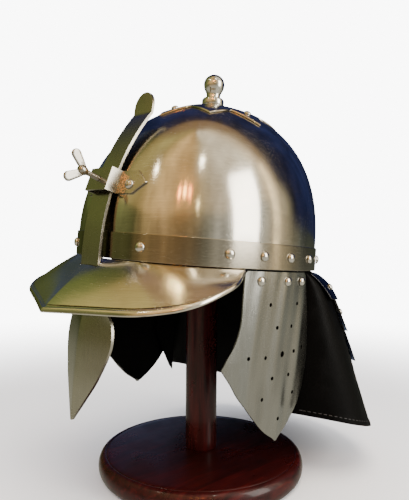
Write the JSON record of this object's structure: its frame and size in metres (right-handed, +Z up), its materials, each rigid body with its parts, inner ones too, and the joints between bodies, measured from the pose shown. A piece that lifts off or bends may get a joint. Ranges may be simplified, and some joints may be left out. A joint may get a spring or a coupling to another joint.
{
  "type": "lobster-tail pot helmet on a wooden stand",
  "caption": "Polished steel lobster-tail pot helmet with peak, sliding nose guard, pierced cheek plates and a laminated neck guard, resting on a turned wooden stand.",
  "frame": {"origin": "centre of the stand's base on the floor", "axes": "+Z up, the helmet faces -Y, the wearer's left side is +X"},
  "size_m": [0.2699, 0.367, 0.3986],
  "materials": {
    "polished_steel": "polished, with fine scratches",
    "bright_steel": "bright",
    "black_leather": "smooth, waxed",
    "mahogany": "gloss varnish"
  },
  "bodies": {
    "helmet_and_stand": {"band_rivet_left_1": "bright_steel", "band_rivet_left_2": "bright_steel", "band_rivet_left_3": "bright_steel", "band_rivet_left_4": "bright_steel", "band_rivet_left_5": "bright_steel", "band_rivet_left_6": "bright_steel", "band_rivet_left_7": "bright_steel", "band_rivet_left_8": "bright_steel", "band_rivet_right_1": "bright_steel", "band_rivet_right_2": "bright_steel", "band_rivet_right_3": "bright_steel", "band_rivet_right_4": "bright_steel", "band_rivet_right_5": "bright_steel", "band_rivet_right_6": "bright_steel", "band_rivet_right_7": "bright_steel", "band_rivet_right_8": "bright_steel", "bracket_rivet_left": "bright_steel", "bracket_rivet_right": "bright_steel", "brow_band": "polished_steel", "cheek_lining_left": "black_leather", "cheek_lining_right": "black_leather", "cheek_plate_left": "polished_steel", "cheek_plate_right": "polished_steel", "cheek_rivet_left_1": "bright_steel", "cheek_rivet_left_2": "bright_steel", "cheek_rivet_left_3": "bright_steel", "cheek_rivet_right_1": "bright_steel", "cheek_rivet_right_2": "bright_steel", "cheek_rivet_right_3": "bright_steel", "crown_plate": "polished_steel", "crown_rivet_back": "bright_steel", "crown_rivet_front": "bright_steel", "crown_rivet_left": "bright_steel", "crown_rivet_right": "bright_steel", "finial": "bright_steel", "lame_rivet_left_1": "bright_steel", "lame_rivet_left_2": "bright_steel", "lame_rivet_left_3": "bright_steel", "lame_rivet_left_4": "bright_steel", "lame_rivet_right_1": "bright_steel", "lame_rivet_right_2": "bright_steel", "lame_rivet_right_3": "bright_steel", "lame_rivet_right_4": "bright_steel", "nasal_bracket": "polished_steel", "neck_lame_1": "polished_steel", "neck_lame_2": "polished_steel", "neck_lame_3": "polished_steel", "neck_lame_4": "polished_steel", "neck_leather": "black_leather", "peak": "polished_steel", "skull": "polished_steel", "stand_base": "mahogany", "stand_post": "mahogany"},
    "nasal_guard": {"nasal_guard": "polished_steel"},
    "wing_screw": {"wing_screw": "bright_steel"}
  },
  "joints": [
    {"name": "nasal_guard_slide", "type": "hinge", "parent": "helmet_and_stand", "child": "nasal_guard", "pos_m": [-0.00129, 0.09021, 0.20568], "axis": [-0.9981, 0.0021, 0.061], "range_deg": [-13, 6]},
    {"name": "wing_screw_turn", "type": "hinge", "parent": "helmet_and_stand", "child": "wing_screw", "pos_m": [0.00253, -0.11627, 0.27551], "axis": [0.0176, -0.9471, 0.3203], "range_deg": [0, 720]}
  ]
}
